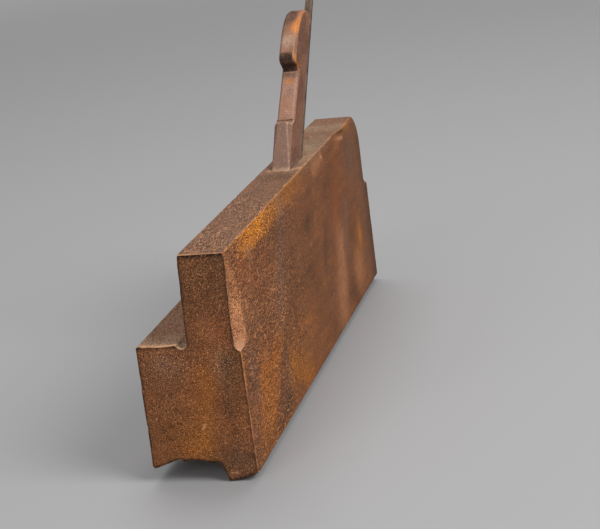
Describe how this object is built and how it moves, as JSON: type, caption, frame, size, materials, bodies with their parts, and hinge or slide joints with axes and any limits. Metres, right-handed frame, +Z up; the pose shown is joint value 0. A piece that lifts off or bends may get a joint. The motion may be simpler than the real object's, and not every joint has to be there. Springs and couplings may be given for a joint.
{
  "type": "moulding plane",
  "caption": "Wooden moulding plane: sprung quirk-ogee sole with fence and depth stop, tanged iron with a laid steel bit, and a tapered wedge with a rounded head.",
  "frame": {"origin": "midway along and across the stock, at the height of the fence's lowest edge", "axes": "+X forward to the toe, +Y to the blind (fence) side, +Z up"},
  "size_m": [0.2414, 0.0404, 0.1565],
  "materials": {
    "beech_stock": "worn oiled beech, dark brown",
    "beech_wedge": "worn beech, rosy brown",
    "wrought_iron": "dull, brown patina",
    "bit_steel": "ground, slightly tarnished"
  },
  "bodies": {
    "stock": {"stock": "beech_stock"},
    "iron": {"iron_body": "wrought_iron", "steel_bit": "bit_steel"},
    "wedge": {"wedge": "beech_wedge"}
  },
  "joints": [
    {"name": "iron_slide", "type": "slide", "parent": "stock", "child": "iron", "axis": [0.682, 0, -0.7314], "range_m": [-0.003, 0.19]},
    {"name": "wedge_slide", "type": "slide", "parent": "stock", "child": "wedge", "axis": [-0.682, 0, 0.7314], "range_m": [0, 0.095]}
  ]
}
